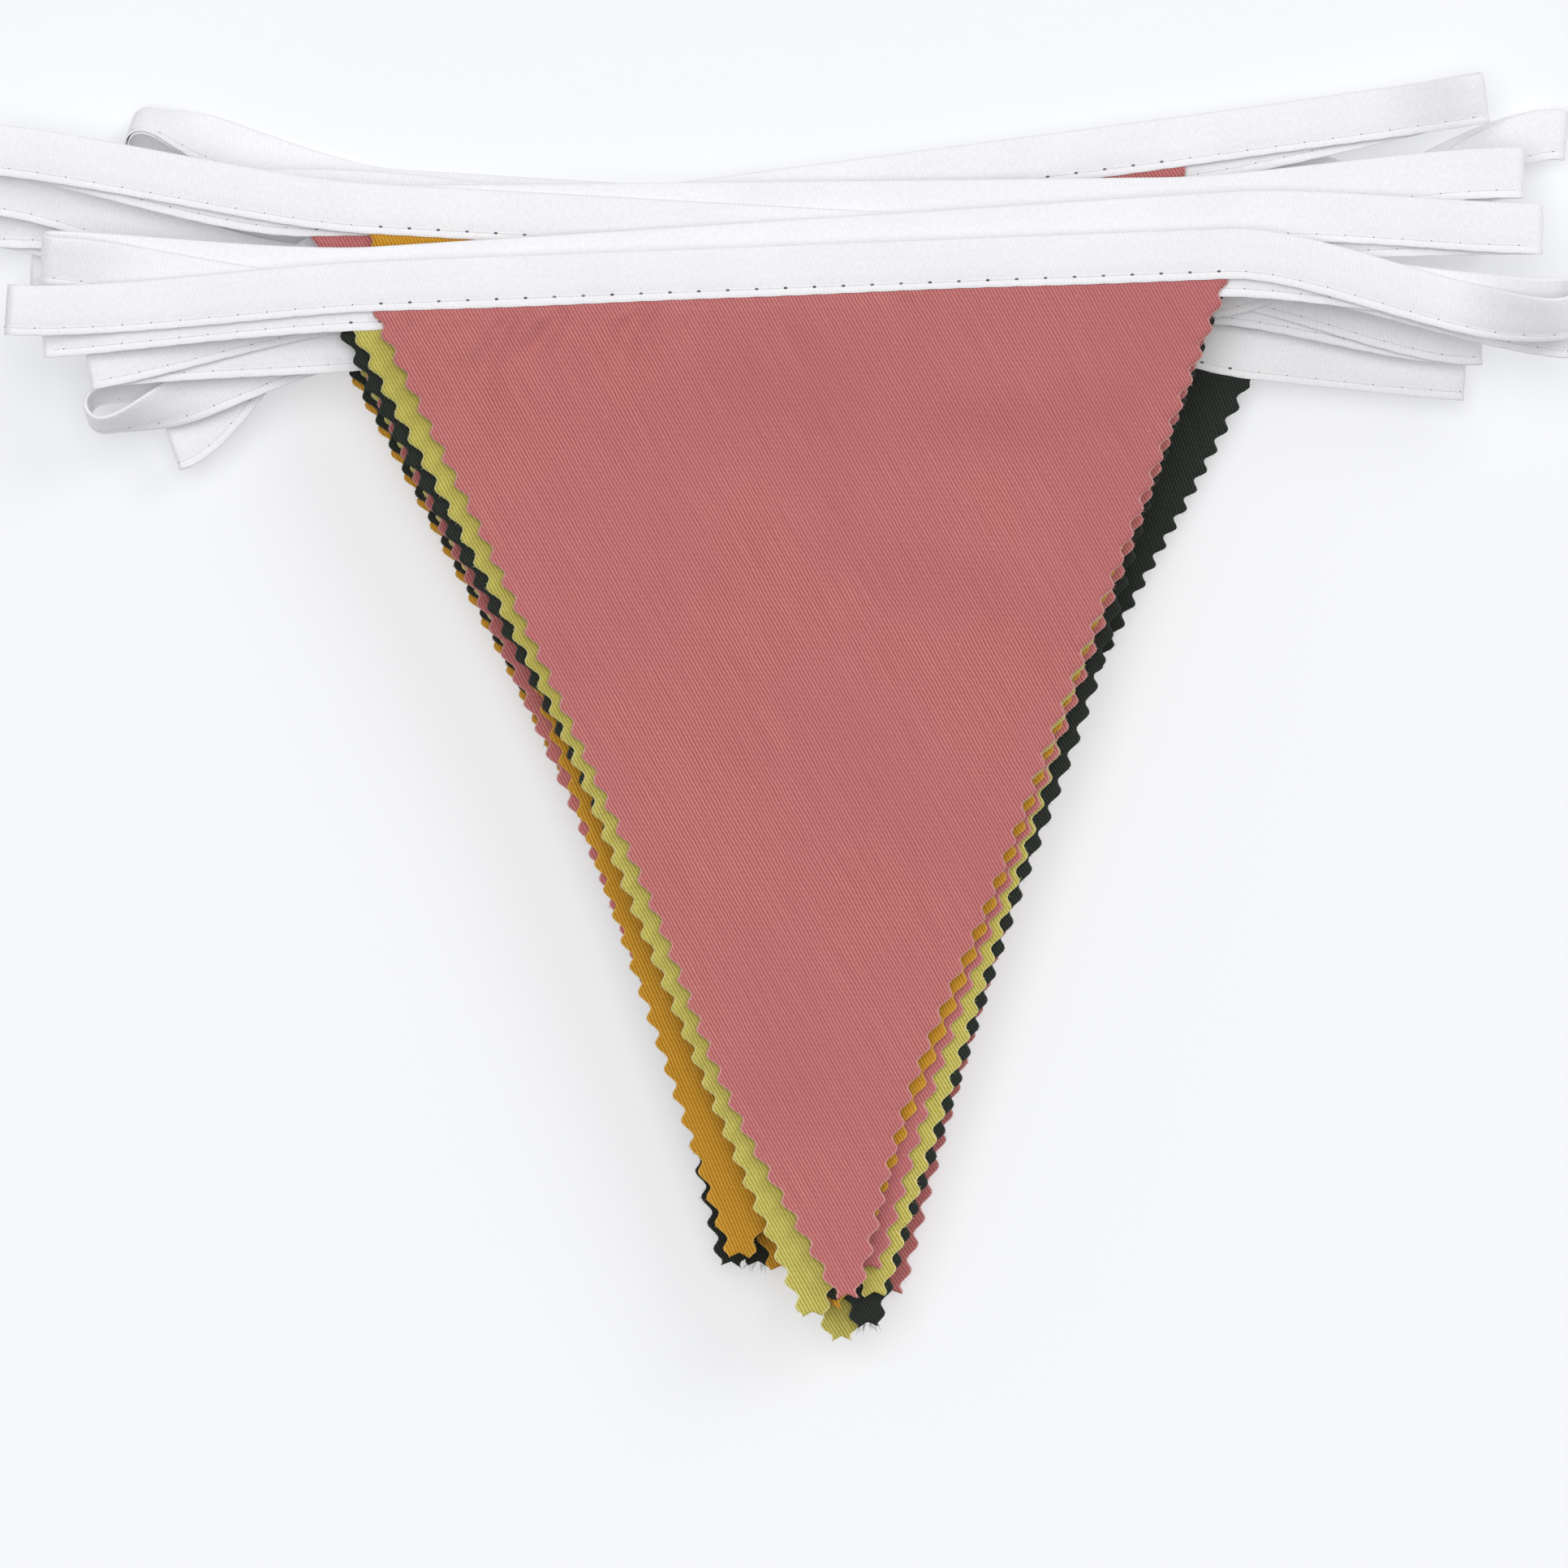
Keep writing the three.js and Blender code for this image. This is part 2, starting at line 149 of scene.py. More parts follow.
def twillMaterial(name, dye):
    m = newMaterial(name)
    flat = addNode(m, "ShaderNodeAttribute", {"attribute_name": "flat"}).outputs["Vector"]
    wander = addNode(m, "ShaderNodeTexNoise", Vector=flat, Scale=1 / twill["wander"], Detail=1.0)
    axes = addNode(m, "ShaderNodeVectorRotate", {"rotation_type": "Z_AXIS"}, Vector=flat,
                   Angle=math.radians(twill["waleAngle"] - 90))
    parts = addNode(m, "ShaderNodeSeparateXYZ", Vector=axes.outputs["Vector"])
    across = addNode(m, "ShaderNodeMath", {"operation": "MULTIPLY_ADD"}, i0=wander.outputs[0], i1=0.55,
                     i2=parts.outputs["X"])
    phase = addNode(m, "ShaderNodeMath", {"operation": "MULTIPLY"}, i0=across.outputs[0],
                    i1=2 * math.pi / twill["walePitch"])
    wave = addNode(m, "ShaderNodeMath", {"operation": "SINE"}, i0=phase.outputs[0])
    wale = addNode(m, "ShaderNodeMapRange", {"interpolation_type": "SMOOTHSTEP"}, Value=wave.outputs[0],
                   From_Min=-1.0, From_Max=0.9)
    alongPhase = addNode(m, "ShaderNodeMath", {"operation": "MULTIPLY"}, i0=parts.outputs["Y"],
                         i1=2 * math.pi / twill["floatLength"])
    floats = addNode(m, "ShaderNodeMath", {"operation": "MULTIPLY_ADD"}, i0=across.outputs[0], i1=2.9,
                     i2=alongPhase.outputs[0])
    floatWave = addNode(m, "ShaderNodeMath", {"operation": "SINE"}, i0=floats.outputs[0])
    yarnPlace = addNode(m, "ShaderNodeVectorMath", {"operation": "MULTIPLY"}, i0=axes.outputs["Vector"],
                        i1=(1 / twill["walePitch"], 1 / twill["yarnLength"], 1.0))
    yarn = addNode(m, "ShaderNodeTexNoise", Vector=yarnPlace.outputs[0], Scale=1.0, Detail=2.0)
    grain = addNode(m, "ShaderNodeTexNoise", Vector=flat, Scale=1 / twill["grain"], Detail=2.0)
    blotch = addNode(m, "ShaderNodeTexNoise", Vector=flat, Scale=1 / twill["blotch"], Detail=1.5)
    slub = addNode(m, "ShaderNodeTexVoronoi", Vector=flat, Scale=1 / twill["slub"])
    height = addNode(m, "ShaderNodeMath", {"operation": "MULTIPLY_ADD"}, i0=floatWave.outputs[0], i1=0.05,
                     i2=wale.outputs[0])
    lift = addNode(m, "ShaderNodeMath", {"operation": "MULTIPLY_ADD"}, i0=grain.outputs[0], i1=0.5,
                   i2=height.outputs[0])
    yarnLift = addNode(m, "ShaderNodeMath", {"operation": "MULTIPLY_ADD"}, i0=yarn.outputs[0], i1=0.55,
                       i2=lift.outputs[0])
    level = addNode(m, "ShaderNodeMapRange", Value=yarnLift.outputs[0], From_Min=0.25, From_Max=1.75)
    # Colour by the height of the weave: painted shade in the grooves, the dyed body between, a painted
    # highlight on the crowns.
    ramp = addNode(m, "ShaderNodeValToRGB", Fac=level.outputs[0])
    ramp.color_ramp.elements[0].color = linear(dye["groove"])
    ramp.color_ramp.elements[1].color = linear(dye["litCrownAndSlub"])
    middle = ramp.color_ramp.elements.new(0.5)
    middle.color = linear(dye["body"])
    patch = addNode(m, "ShaderNodeMapRange", Value=blotch.outputs[0], From_Min=0.35, From_Max=0.7, To_Max=0.4)
    patched = addNode(m, "ShaderNodeMix", {"data_type": "RGBA"}, i0=patch.outputs[0],
                      i6=ramp.outputs[0], i7=linear(dye["patch"]))
    speck = addNode(m, "ShaderNodeMapRange", Value=slub.outputs["Distance"], From_Min=0.05, From_Max=0.11,
                    To_Min=0.55, To_Max=0.0)
    pick = addNode(m, "ShaderNodeSeparateXYZ", Vector=slub.outputs["Color"])
    rare = addNode(m, "ShaderNodeMath", {"operation": "GREATER_THAN"}, i0=pick.outputs["X"], i1=0.86)
    speckled = addNode(m, "ShaderNodeMath", {"operation": "MULTIPLY"}, i0=speck.outputs[0],
                       i1=rare.outputs[0])
    colour = addNode(m, "ShaderNodeMix", {"data_type": "RGBA"}, i0=speckled.outputs[0],
                     i6=patched.outputs[2], i7=linear(dye["litCrownAndSlub"]))
    rim = addNode(m, "ShaderNodeAttribute", {"attribute_name": "rim"}).outputs["Fac"]
    rimBlur = addNode(m, "ShaderNodeMath", {"operation": "MULTIPLY_ADD"}, i0=grain.outputs[0],
                      i1=-twill["fuzz"], i2=rim)
    fuzz = addNode(m, "ShaderNodeMapRange", Value=rimBlur.outputs[0], From_Min=-twill["fuzz"] / 2,
                   From_Max=twill["fuzz"] / 4, To_Min=0.8, To_Max=0.0)
    fuzzy = addNode(m, "ShaderNodeMix", {"data_type": "RGBA"}, i0=fuzz.outputs[0],
                    i6=colour.outputs[2], i7=linear(dye["fibre"]))
    bump = addNode(m, "ShaderNodeBump", Strength=0.55, Distance=0.10 * mm, Height=yarnLift.outputs[0])
    shader = addNode(m, "ShaderNodeBsdfPrincipled", Base_Color=fuzzy.outputs[2], Normal=bump.outputs[0],
                     Roughness=twill["roughness"], IOR=1.5, Specular_IOR_Level=0.3,
                     Sheen_Weight=dye["sheen"], Sheen_Roughness=0.6)
    return closeMaterial(m, shader)


# Loose cotton fibres at the cut edges: paler than the cloth, because light passes through them.
def fibreMaterial(name, tone, deep):
    m = newMaterial(name)
    place = addNode(m, "ShaderNodeTexCoord").outputs["Object"]
    mix = addNode(m, "ShaderNodeTexNoise", Vector=place, Scale=1 / (1.2 * mm), Detail=1.0)
    share = addNode(m, "ShaderNodeMapRange", Value=mix.outputs[0], From_Min=0.35, From_Max=0.65)
    colour = addNode(m, "ShaderNodeMix", {"data_type": "RGBA"}, i0=share.outputs[0],
                     i6=linear(tone), i7=linear(deep))
    shader = addNode(m, "ShaderNodeBsdfPrincipled", Base_Color=colour.outputs[2], Roughness=0.8, IOR=1.53,
                     Specular_IOR_Level=0.3, Sheen_Weight=0.2)
    return closeMaterial(m, shader)


# White polycotton bias tape, woven fine and pressed double: slanted ribs too thin to cast shade, with a faint
# painted shade between them and uneven grain, a smooth satin gleam, faintly cool.
tapeFinish = {
    "ribPitch": 0.8,  # real ribs are about 0.57 apart, drawn coarser to show
    "ribAngle": 22,  # lean of the ribs from straight across
    "wander": 5, "grain": 0.9, "cloud": 18,
    "white": "#f4f3f5",
    "rib": "#e8e8ec",
    "roughness": 0.5,
    "sheen": 0.1,
}


def tapeMaterial(name):
    m = newMaterial(name)
    flat = addNode(m, "ShaderNodeAttribute", {"attribute_name": "flat"}).outputs["Vector"]
    wander = addNode(m, "ShaderNodeTexNoise", Vector=flat, Scale=1 / tapeFinish["wander"], Detail=1.0)
    axes = addNode(m, "ShaderNodeVectorRotate", {"rotation_type": "Z_AXIS"}, Vector=flat,
                   Angle=math.radians(-tapeFinish["ribAngle"]))
    parts = addNode(m, "ShaderNodeSeparateXYZ", Vector=axes.outputs["Vector"])
    place = addNode(m, "ShaderNodeMath", {"operation": "MULTIPLY_ADD"}, i0=wander.outputs[0], i1=0.5,
                    i2=parts.outputs["X"])
    phase = addNode(m, "ShaderNodeMath", {"operation": "MULTIPLY"}, i0=place.outputs[0],
                    i1=2 * math.pi / tapeFinish["ribPitch"])
    wave = addNode(m, "ShaderNodeMath", {"operation": "SINE"}, i0=phase.outputs[0])
    grain = addNode(m, "ShaderNodeTexNoise", Vector=flat, Scale=1 / tapeFinish["grain"], Detail=2.0)
    cloud = addNode(m, "ShaderNodeTexNoise", Vector=flat, Scale=1 / tapeFinish["cloud"], Detail=1.0)
    level = addNode(m, "ShaderNodeMath", {"operation": "MULTIPLY_ADD"}, i0=wave.outputs[0], i1=0.12,
                    i2=grain.outputs[0])
    soft = addNode(m, "ShaderNodeMath", {"operation": "MULTIPLY_ADD"}, i0=cloud.outputs[0], i1=0.5,
                   i2=level.outputs[0])
    share = addNode(m, "ShaderNodeMapRange", Value=soft.outputs[0], From_Min=0.35, From_Max=1.1)
    # Painted shade between the ribs, mixed with uneven grain and soft clouds of tone.
    colour = addNode(m, "ShaderNodeMix", {"data_type": "RGBA"}, i0=share.outputs[0],
                     i6=linear(tapeFinish["rib"]), i7=linear(tapeFinish["white"]))
    bump = addNode(m, "ShaderNodeBump", Strength=0.25, Distance=0.04 * mm, Height=level.outputs[0])
    shader = addNode(m, "ShaderNodeBsdfPrincipled", Base_Color=colour.outputs[2], Normal=bump.outputs[0],
                     Roughness=tapeFinish["roughness"], IOR=1.5, Specular_IOR_Level=0.4,
                     Sheen_Weight=tapeFinish["sheen"], Sheen_Roughness=0.4)
    return closeMaterial(m, shader)


# Spun polyester sewing thread: two plies that wind round each other, white, with painted grey shade between
# them.
thread = {"plyPitch": 0.45, "plyAngle": 35, "white": "#f7f7f6", "plyShade": "#d4d4d8"}


def threadMaterial(name):
    m = newMaterial(name)
    flat = addNode(m, "ShaderNodeAttribute", {"attribute_name": "flat"}).outputs["Vector"]
    axes = addNode(m, "ShaderNodeVectorRotate", {"rotation_type": "Z_AXIS"}, Vector=flat,
                   Angle=math.radians(thread["plyAngle"]))
    parts = addNode(m, "ShaderNodeSeparateXYZ", Vector=axes.outputs["Vector"])
    phase = addNode(m, "ShaderNodeMath", {"operation": "MULTIPLY"}, i0=parts.outputs["X"],
                    i1=2 * math.pi / thread["plyPitch"])
    wave = addNode(m, "ShaderNodeMath", {"operation": "SINE"}, i0=phase.outputs[0])
    share = addNode(m, "ShaderNodeMapRange", Value=wave.outputs[0], From_Min=-1.0, From_Max=0.2)
    # Painted shade in the grooves between the plies.
    colour = addNode(m, "ShaderNodeMix", {"data_type": "RGBA"}, i0=share.outputs[0],
                     i6=linear(thread["plyShade"]), i7=linear(thread["white"]))
    bump = addNode(m, "ShaderNodeBump", Strength=0.4, Distance=0.04 * mm, Height=wave.outputs[0])
    shader = addNode(m, "ShaderNodeBsdfPrincipled", Base_Color=colour.outputs[2], Normal=bump.outputs[0],
                     Roughness=0.55, IOR=1.6, Sheen_Weight=0.1)
    return closeMaterial(m, shader)


# The shade inside a needle hole: an uneven grey that reads as depth.
needleHole = {"deep": "#4f4b4d", "pale": "#7d7a7c", "fleck": 4}


def holeMaterial(name):
    m = newMaterial(name)
    place = addNode(m, "ShaderNodeTexCoord").outputs["Object"]
    fleck = addNode(m, "ShaderNodeTexNoise", Vector=place, Scale=1 / (needleHole["fleck"] * mm), Detail=1.0)
    share = addNode(m, "ShaderNodeMapRange", Value=fleck.outputs[0], From_Min=0.35, From_Max=0.65)
    colour = addNode(m, "ShaderNodeMix", {"data_type": "RGBA"}, i0=share.outputs[0],
                     i6=linear(needleHole["deep"]), i7=linear(needleHole["pale"]))
    shader = addNode(m, "ShaderNodeBsdfPrincipled", Base_Color=colour.outputs[2], Roughness=0.9, IOR=1.5)
    return closeMaterial(m, shader)


cloths = {dye: twillMaterial(dye + "CottonTwill", tones) for dye, tones in dyesWithWeaveShade.items()}
fibres = {dye: fibreMaterial(dye + "CottonFibre", tones["fibre"], tones["body"])
          for dye, tones in dyesWithWeaveShade.items()}
tapeCloth = tapeMaterial("whiteBiasTape")
threadSpun = threadMaterial("whiteSpunThread")
holeShade = holeMaterial("needleHoleShade")
print("materials made,", len(bpy.data.materials))


# Meshes from arrays of points in millimetres, with each point's place on the flat cloth and its
# distance from a cut side
def addMesh(name, points, faces, flat, material, soft=True, rim=None):
    mesh = bpy.data.meshes.new(name)
    mesh.from_pydata((np.asarray(points) * mm).tolist(), [], faces)
    if flat is not None:
        places = mesh.attributes.new("flat", "FLOAT_VECTOR", "POINT")
        places.data.foreach_set("vector", np.asarray(flat, dtype=np.float32).ravel())
    if rim is not None:
        distances = mesh.attributes.new("rim", "FLOAT", "POINT")
        distances.data.foreach_set("value", np.asarray(rim, dtype=np.float32))
    mesh.polygons.foreach_set("use_smooth", [soft] * len(mesh.polygons))
    mesh.materials.append(material)
    mesh.update()
    piece = bpy.data.objects.new(name, mesh)
    bpy.context.scene.collection.objects.link(piece)
    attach(piece, "root")
    return piece


# The pile from the top down: each pennant's dye, where the tape's lower edge lies over it, its slope,
# how far its right end droops, how far down the first tooth is, and how far the cloth leans to the
# right at equal steps from the seam to the tip
pile = [
    ("rose", 4.2, 81.3, 2.2, 0, 0.1, (0, 0.35, 0.2, -0.3, -2.2, 1.6)),
    ("olive", 0.3, 77.8, 2.3, 0, 2.45, (0, 1.8, 3.1, 0.9, -0.7, -1.6)),
    ("charcoal", -3.6, 80.6, 2.3, 0, 4.4, (0, 1.6, 4.7, 5.2, 3.6, 4.9)),
    ("mustard", 1.9, 79, 2.6, 0, 0.45, (0, 0.2, 1.6, 1.6, 0.1, -0.6)),
    ("rose", 5.6, 86.6, 3.7, 0, 4.3, (0, 1.2, 1, 0.2, -1.4, -0.5)),
    ("olive", 4, 81.1, 4.3, 0, 4.3, (0, -0.6, -0.4, 0.2, 0.2, 0)),
    ("charcoal", 3.8, 75.2, 5.6, 0, 2.1, (0, -1, -0.1, -2.5, -3.8, -5.6)),
    ("mustard", 3.2, 89, -3.2, 0, 2.95, (0, 0, 0, 0.1, 0, 0)),
    ("rose", -8.3, 94.1, 0.6, 0, 3.75, (0, -1, 1.5, 2.1, 1.5, 0)),
    ("olive", 1.3, 72.4, 3.2, 0, 1.2, (0, 0.8, 1.6, 1.2, 0.4, 0)),
    ("charcoal", -4.1, 80.5, 5, 8, 2.45, (0, 0, 0, 0, 0, 0)),
    ("mustard", -4.9, 81, 4.7, 12, 0.15, (0, 0, 0, 0, 0, 0)),
    ("rose", -3.2, 96.3, 7.5, 0, 0.9, (0, 0, 0, 0, 0, 0)),
    ("olive", -2.4, 93.1, 7.5, 0, 2, (0, 0, 0, 0, 0, 0)),
    ("charcoal", 10.9, 86.2, -6.5, 11.5, 1.35, (0, 4.2, 7.7, 5.7, 3.6, 1.9)),
    ("mustard", 9, 86.2, -2.5, 0, 3.3, (0, 1.2, 4.4, 2.5, 0, 0)),
    ("rose", 0.2, 80.2, 7, 0, 4.9, (0, 0, 0, -0.6, -1.6, -1.9)),
    ("olive", -2.4, 94.7, 7, 0, 2.8, (0, 0, 0, 0, 0, 0)),
    ("charcoal", 9.6, 86.7, -4, 0, 4.1, (0, 0, 0, 0, 0, 0)),
    ("mustard", 8, 92, -3.5, 0, 1.7, (0, 0, 0, 0, 0, 0)),
]
pileShift = np.array([0.02, -0.27, 0.0])
layerPitch = 1.3
lowestLayer = 0.5


def layerHeight(index):
    return (len(pile) - 1 - index) * layerPitch + lowestLayer


# Pennants
pennant = {
    "width": 169, "height": 198, "tip": 4,
    "thickness": 0.36,
    "tuck": 4.0,  # how far the sewn edge goes up into the tape
    "hollow": 1.3,  # how far the sides bow in
    "toothPitch": 5.4, "toothDepth": 1.6,
    "fork": 2.2,  # length of the notch in the tip
    "rowsPerTooth": 8,
    "columns": (0.016, 0.05, 0.11, 0.26, 0.6),  # from the cut side to the middle
    "topColumns": (98, 44),  # left and right of the middle
    "sagStart": 18, "sagDepth": 90,
    "tipLift": 1.6, "tipLiftLength": 34,
    "ripple": 0.20, "curl": 0.16,  # long waves of the cut sides, and the curl of each tooth
    "patternStep": 40.0,  # so that no two pennants share their yarns
    "topCurl": 0.45,  # the top pennant's left side lifts
}

# The top pennant is gathered on its seam: it puffs up there, and troughs run down from the stitches.
# Each has its points (x, depth), half width and height.
puff = {"left": -84, "right": 34, "height": 1.6, "fade": 24, "rise": 2.6}
creases = [
    (((-74.0, -0.6), (-79.0, 2.4), (-83.0, 4.6)), 1.2, -2.2),
    (((-61.9, 0.2), (-66.8, 4.8), (-69.5, 9.0)), 2.1, -1.1),
    (((-56.0, 0.4), (-59.3, 4.6), (-62.8, 13.0), (-65.0, 21.0)), 2.4, -1.8),
    (((-47.0, 1.0), (-50.9, 6.5), (-54.7, 9.6), (-58.5, 14.0)), 2.2, -2),
    (((-40.0, 1.0), (-46.0, 5.1), (-48.5, 8.0)), 2, -1.2),
    (((-29.3, 0.4), (-34.3, 5.6), (-36.7, 13.5), (-38.0, 19.0)), 2.5, -1.8),
    (((-18.2, 1.6), (-23.2, 7.6), (-25.6, 12.0)), 2.8, -1),
    (((0.1, 0.5), (-4.4, 5.6), (-1.5, 17.0)), 3.1, -0.85),
    (((21.9, 0.7), (18.2, 12.4), (10.8, 27.0)), 3.8, -0.94),
    (((-66.0, 12.0), (-67.5, 26.0)), 4.5, -1.1),
]

# Its soft swells lower down: x, depth, slope in degrees, half length, half width, height
swells = [
    (43, 20, -8, 20, 8, 1.5), (33, 31, 22, 18, 7, -0.675), (-3, 36, 70, 18, 8, -0.675),
    (45, 60, 38, 22, 8, 1.12), (18, 50, 10, 26, 9, 0.75), (-34, 54, -24, 40, 10, 0.75),
    (10, 92, 58, 34, 9, 0.675), (-16, 100, 60, 30, 9, -0.6), (24, 118, -62, 24, 7, -0.75),
    (0, 146, 80, 26, 8, 0.75),
]

sideLength = math.hypot(pennant["height"], pennant["width"] / 2)
toothStep = pennant["toothPitch"] / 2 * pennant["height"] / sideLength  # half a tooth, down the cloth


def sagAt(sag, x, depth):
    reach = smooth((x - pennant["sagStart"]) / (pennant["width"] / 2 - pennant["sagStart"]))
    return sag * reach * (1 - smooth(depth / pennant["sagDepth"]))


def halfWidth(depth):
    share = depth / pennant["height"]
    straight = (pennant["width"] + (pennant["tip"] - pennant["width"]) * share) / 2
    return straight - pennant["hollow"] * 4 * share * (1 - share)


def driftAt(index, depth):
    drift = np.array(pile[index][6], dtype=float)
    last = len(drift) - 1
    place = np.clip(depth / pennant["height"], 0, 1) * last
    i = np.minimum(place.astype(int), last - 1)
    t = place - i
    a, b = drift[np.maximum(i - 1, 0)], drift[i]
    c, d = drift[i + 1], drift[np.minimum(i + 2, last)]
    return (2 * b + (c - a) * t + (2 * a - 5 * b + 4 * c - d) * t ** 2 + (3 * b - a - 3 * c + d) * t ** 3) / 2


def toothWave(index, depth):
    angle = math.pi * (depth - pile[index][5]) / toothStep
    wave = np.cos(angle + 0.22 * np.sin(angle))
    fade = smooth(depth / 2.0) * smooth((pennant["height"] - depth) / 1.2)
    return (wave - 0.12 * np.cos(2 * angle)) * fade


def creaseShape(x, depth, points, half, tall):
    lengths = [math.dist(a, b) for a, b in zip(points, points[1:])]
    near = np.full_like(x, 1e9)
    share = np.zeros_like(x)
    passed = 0.0
    for (ax, ad), (bx, bd), length in zip(points, points[1:], lengths):
        ux, ud = (bx - ax) / length, (bd - ad) / length
        along = np.clip((x - ax) * ux + (depth - ad) * ud, 0, length)
        away = np.hypot(x - ax - ux * along, depth - ad - ud * along)
        share = np.where(away < near, (passed + along) / sum(lengths), share)
        near = np.minimum(near, away)
        passed += length
    wide = half * (0.8 + 0.7 * share)
    return tall * np.exp(-(near / wide) ** 2) * (1 - smooth((share - 0.35) / 0.75))


def topShape(x, depth):
    puffed = smooth((x - puff["left"]) / 6) * (1 - smooth((x - puff["right"] + 40) / 40))
    height = puff["height"] * puffed * (1 - smooth((depth - 6) / puff["fade"]))
    for points, half, tall in creases:
        height = height + creaseShape(x, depth, points, half, tall)
    height *= smooth(depth / puff["rise"])
    for sx, sd, slope, length, half, tall in swells:
        a = math.radians(slope)
        dx, dd = x - sx, depth - sd
        along = dx * math.cos(a) + dd * math.sin(a)
        side = -dx * math.sin(a) + dd * math.cos(a)
        height += tall * np.exp(-(along / length) ** 2 - (side / half) ** 2) * smooth(depth / 10)
    toTip = np.maximum(depth - pennant["height"] + pennant["tipLiftLength"], 0) / pennant["tipLiftLength"]
    return np.maximum(height, -0.45) + pennant["tipLift"] * toTip * toTip


def clothShape(index, x, depth, edge):
    seed = index * 1.7
    side = np.sign(x)
    long = np.sin(depth / 17 + seed * 2.1 + side * 1.3) + 0.6 * np.sin(depth / 7.3 + seed * 3.7 + side)
    near = np.exp(-(edge / 9) ** 2)
    teeth = np.exp(-(edge / 2.2) ** 2) * toothWave(index, depth)
    uneven = 0.6 + 0.4 * np.sin(depth / 11 + seed)
    shape = pennant["ripple"] * 0.62 * long * near + pennant["curl"] * teeth * uneven
    broad = 0.08 * np.sin(x / 23 + seed) * np.sin(depth / 29 + seed * 1.3)
    height = np.clip(shape + broad, -0.40, 0.40) * smooth((depth - 0.5) / 9)
    if index == 0:
        lifted = pennant["topCurl"] * np.exp(-edge / 2.2) * (x < 0) * smooth(depth / 6)
        height = height + topShape(x, depth) + lifted
    return height


def pennantRows():
    heading = [-pennant["tuck"], -2.4, -1.0, -0.3, 0.1, 0.5]
    count = int(pennant["height"] / (2 * toothStep) * pennant["rowsPerTooth"])
    return np.array(heading + [1.0 + (pennant["height"] - 1.0) * i / count for i in range(count + 1)])


def pennantPlace(index, x, y, z):
    turn = math.radians(pile[index][3])
    px = x * math.cos(turn) - y * math.sin(turn) + pile[index][1] + pileShift[0]
    py = x * math.sin(turn) + y * math.cos(turn) + pile[index][2] + pileShift[1]
    return np.stack([px, py, z + layerHeight(index)], axis=-1)


def pennantGrid(index):
    depth = pennantRows()
    half = halfWidth(depth) + pennant["toothDepth"] / 2 * toothWave(index, depth)
    if index == 0:
        left, right = pennant["topColumns"]
        share = np.concatenate([np.linspace(-1, 0, left + 1), np.linspace(0, 1, right + 1)[1:]])
    else:
        side = 1 - np.array((0,) + pennant["columns"])
        share = np.concatenate([-side, [0.0], side[::-1]])
    x = half[:, None] * share[None, :]
    d = np.repeat(depth[:, None], len(share), axis=1)
    inward = 1 - np.abs(share[None, :])
    notch = smooth((d - pennant["height"] + pennant["fork"]) / pennant["fork"]) * inward
    edge = half[:, None] * inward
    z = clothShape(index, x, d, edge)
    y = -(d - notch) - sagAt(pile[index][4], x, d)
    return x + driftAt(index, d), y, z, edge


def makePennant(index):
    name = "pennant_%02d" % (index + 1)
    x, y, z, edge = pennantGrid(index)
    rows, columns = x.shape
    thin = pennant["thickness"] / 2 * (0.45 + 0.55 * smooth(edge / 0.8))
    topSide = pennantPlace(index, x, y, z + thin).reshape(-1, 3)
    underSide = pennantPlace(index, x, y, z - thin).reshape(-1, 3)
    flat = np.stack([x, y, np.full_like(x, index * pennant["patternStep"])], axis=-1).reshape(-1, 3)
    grid = np.arange(rows * columns).reshape(rows, columns)
    quads = np.stack([grid[:-1, :-1], grid[1:, :-1], grid[1:, 1:], grid[:-1, 1:]], axis=-1).reshape(-1, 4)
    under = rows * columns
    rim = np.concatenate([grid[:, 0], grid[-1, 1:], grid[-2::-1, -1], grid[0, -2:0:-1]])
    ahead = np.roll(rim, -1)
    walls = np.stack([rim, rim + under, ahead + under, ahead], axis=-1)
    faces = quads.tolist() + (quads[:, ::-1] + under).tolist() + walls.tolist()
    piece = addMesh(name + "_cloth", np.concatenate([topSide, underSide]), faces,
                    np.concatenate([flat, flat]), cloths[pile[index][0]], rim=np.tile(edge.ravel(), 2))
    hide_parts(name)
    return piece


# Frayed fibres of the cut sides, one mesh for each pennant
fray = {
    "seed": 40, "firstRow": 8,
    "perTooth": 8, "topPerTooth": 18,
    "shortest": 0.22, "longest": 0.85,
    "mostlyShort": 2.6,  # the higher, the fewer long ones
    "width": 0.045,
    "rootIn": 0.12, "tipRootIn": 0.6,  # how far inside the cut they start
    "tipStrands": 14, "tipLongest": 2.6,  # longer threads at a tip that has come loose
    "looseTips": (2, 6, 10, 18),
}


